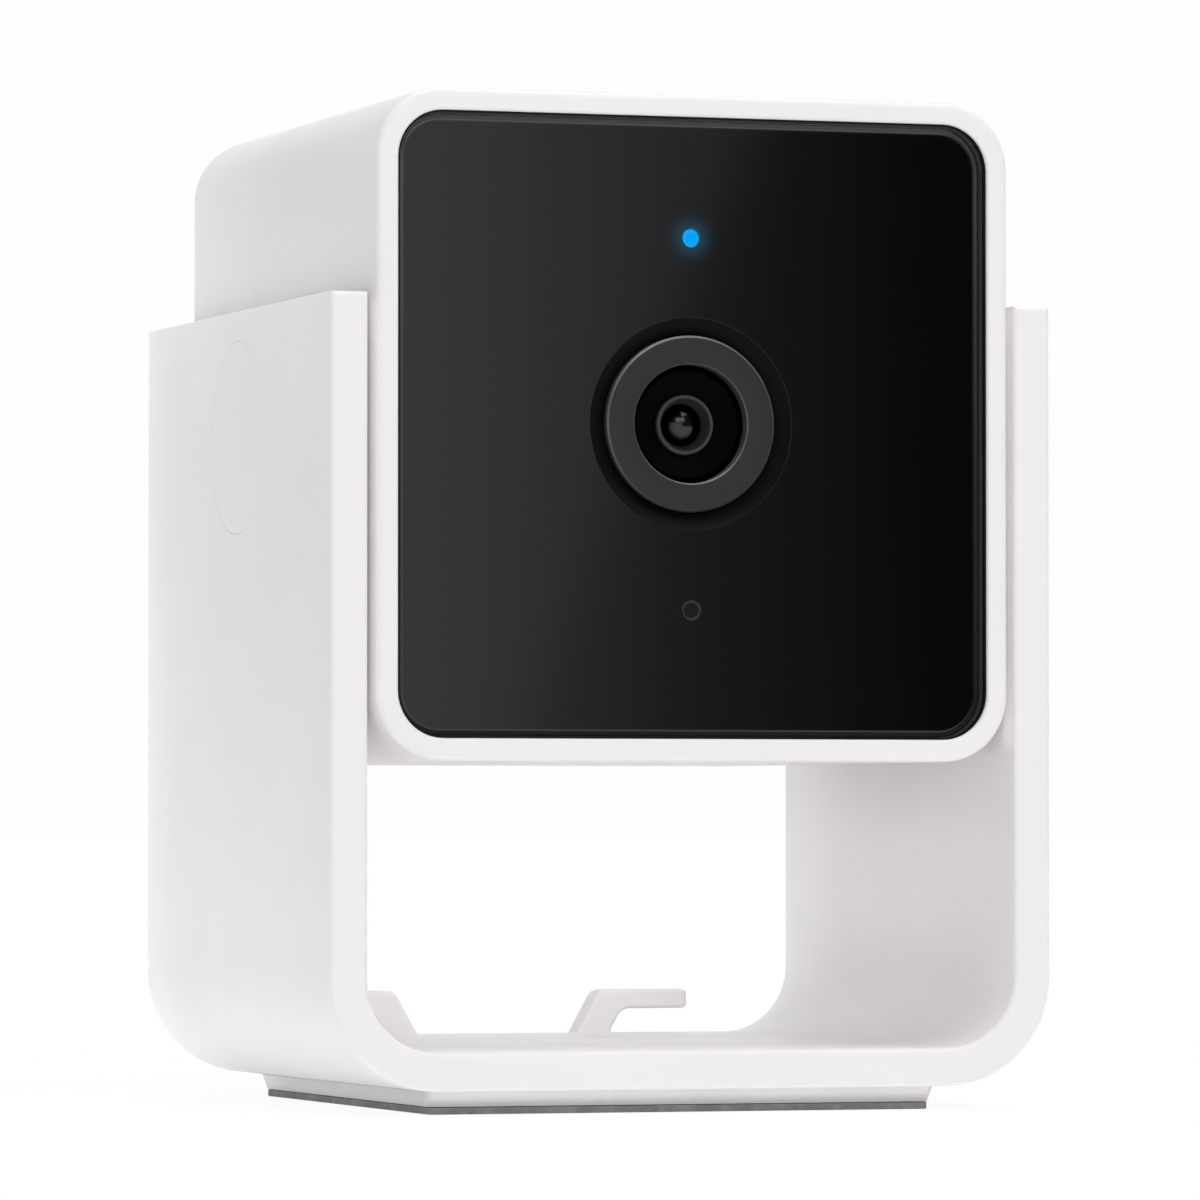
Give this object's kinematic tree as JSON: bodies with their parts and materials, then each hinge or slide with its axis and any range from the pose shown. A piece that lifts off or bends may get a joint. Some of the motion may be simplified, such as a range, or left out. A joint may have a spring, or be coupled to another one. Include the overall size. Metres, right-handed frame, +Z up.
{
  "type": "pet camera",
  "caption": "Small indoor camera for watching pets: a rounded white cube with a black glossy front and a central lens, which tilts between the legs of a U-shaped stand.",
  "frame": {"origin": "on the floor, under the middle of the foot pad's box, midway between the legs", "axes": "+Z up, the lens looks along -Y, +X is on the right of someone who faces the lens"},
  "size_m": [0.06, 0.0544, 0.0803],
  "materials": {
    "white_plastic": "satin moulded white with a very fine grain",
    "black_gloss": "polished black, dark enough to hide the lights behind it",
    "black_plastic": "matt black",
    "grey_metal": "dark anodised, finely turned",
    "lens_glass": "coated glass with a faint reddish reflection",
    "filter_glass": "pale blue filter glass",
    "clear_glass": "clear",
    "blue_light": "lit blue light guide",
    "plate_metal": "fine satin",
    "pad_rubber": "matt dark grey",
    "steel": "plated",
    "black_steel": "black oxide",
    "circuit_board": "green solder mask over glass fibre",
    "grey_foam": "dense grey foam",
    "copper": "enamelled copper winding",
    "ribbon_white": "white film with fine tracks",
    "amber_film": "amber flexible film"
  },
  "bodies": {
    "stand": {"stand_bracket": "white_plastic", "mounting_plate": "plate_metal", "foot_pad": "pad_rubber", "plate_screw_1": "steel", "plate_screw_2": "steel", "pivot_cap_left": "white_plastic", "pivot_cap_right": "white_plastic"},
    "head": {"pivot_hub_left": "steel", "pivot_hub_right": "steel", "friction_washer_left": "grey_foam", "friction_washer_right": "grey_foam", "retaining_washer_left": "steel", "retaining_washer_right": "steel", "pivot_screw_left": "black_steel", "pivot_screw_right": "black_steel", "head_shell": "white_plastic", "front_panel": "black_gloss", "panel_gasket": "grey_foam", "rear_cover": "white_plastic", "cover_screw_1": "black_steel", "cover_screw_2": "black_steel", "lens_ring": "grey_metal", "lens_surround": "black_plastic", "lens_barrel": "black_plastic", "front_lens": "lens_glass", "rear_lens": "lens_glass", "lens_holder": "black_plastic", "filter_coil": "copper", "led_board": "circuit_board", "ir_led_1": "lens_glass", "ir_led_2": "lens_glass", "ir_led_3": "lens_glass", "ir_led_4": "lens_glass", "status_led": "clear_glass", "light_pipe": "blue_light", "microphone": "steel", "mic_gasket": "grey_foam", "sensor_board": "circuit_board", "image_sensor": "black_plastic", "sensor_screw_1": "steel", "sensor_screw_2": "steel", "main_board": "circuit_board", "shield_can": "steel", "usb_socket": "steel", "tact_switch": "black_plastic", "speaker_can": "black_plastic", "speaker_cone": "grey_foam", "speaker_gasket": "grey_foam", "ribbon_cable": "ribbon_white", "antenna": "amber_film", "antenna_lead": "black_plastic", "board_screw_1": "steel", "board_screw_2": "steel"},
    "button": {"setup_button": "white_plastic"},
    "filter": {"filter_frame": "black_plastic", "ir_cut_glass": "filter_glass", "clear_glass": "clear_glass"},
    "lever": {"filter_lever": "black_steel"}
  },
  "joints": [
    {"name": "head_tilt", "type": "hinge", "parent": "stand", "child": "head", "pos_m": [0, 0, 0.054], "axis": [1, 0, 0], "range_deg": [-90, 90]},
    {"name": "button_press", "type": "slide", "parent": "head", "child": "button", "axis": [0, -1, 0], "range_m": [0, 0.0005], "stiffness_N_per_m": 1500},
    {"name": "filter_slide", "type": "slide", "parent": "head", "child": "filter", "axis": [-1, 0, 0], "range_m": [0, 0.005]},
    {"name": "lever_swing", "type": "hinge", "parent": "head", "child": "lever", "pos_m": [0, -0.0086, 0.06355], "axis": [0, 1, 0], "range_deg": [0, 60]}
  ],
  "couplings": [
    {"joint": "lever_swing", "follows": "filter_slide", "rad_per_m": 209.4}
  ]
}
